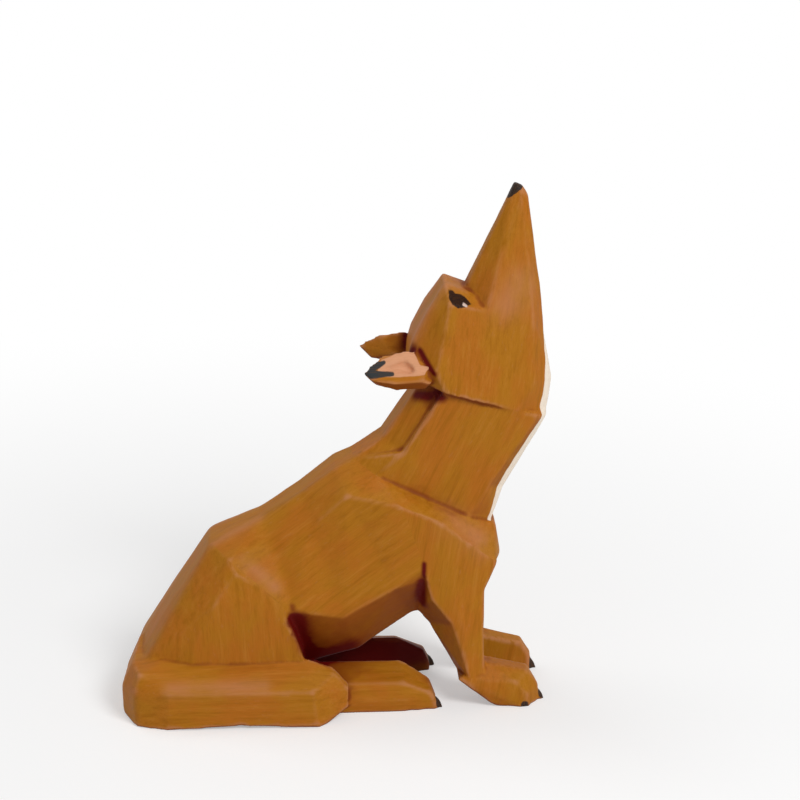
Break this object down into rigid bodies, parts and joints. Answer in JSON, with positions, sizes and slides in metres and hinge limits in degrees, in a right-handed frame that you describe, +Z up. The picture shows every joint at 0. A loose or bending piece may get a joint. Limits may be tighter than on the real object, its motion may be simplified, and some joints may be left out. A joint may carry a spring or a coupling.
{
  "type": "fox figurine",
  "caption": "Carved wooden fox that sits with its muzzle raised to howl and its tail laid along its right side, faceted, glazed orange brown with painted nose, eyes, ears and claws.",
  "frame": {"origin": "on the floor in the median plane, under the middle of the seat", "axes": "+X the way the fox faces, +Y its left side, +Z up"},
  "size_m": [0.0887, 0.033, 0.1098],
  "materials": {
    "glazed_wood": "brushed orange brown glaze over close-grained wood, satin, with painted details",
    "bare_wood": "plain round rod, unfinished"
  },
  "bodies": {
    "root": {"torso": "glazed_wood", "neck": "glazed_wood", "head": "glazed_wood", "ear_left": "glazed_wood", "ear_right": "glazed_wood", "foreleg_left": "glazed_wood", "foreleg_right": "glazed_wood", "haunch_left": "glazed_wood", "haunch_right": "glazed_wood", "hind_foot_left": "glazed_wood", "hind_foot_right": "glazed_wood", "tail": "glazed_wood", "neck_pin": "bare_wood", "head_pin": "bare_wood", "shoulder_pin": "bare_wood", "hip_pins": "bare_wood", "hind_foot_pins": "bare_wood", "tail_pins": "bare_wood"}
  },
  "joints": []
}
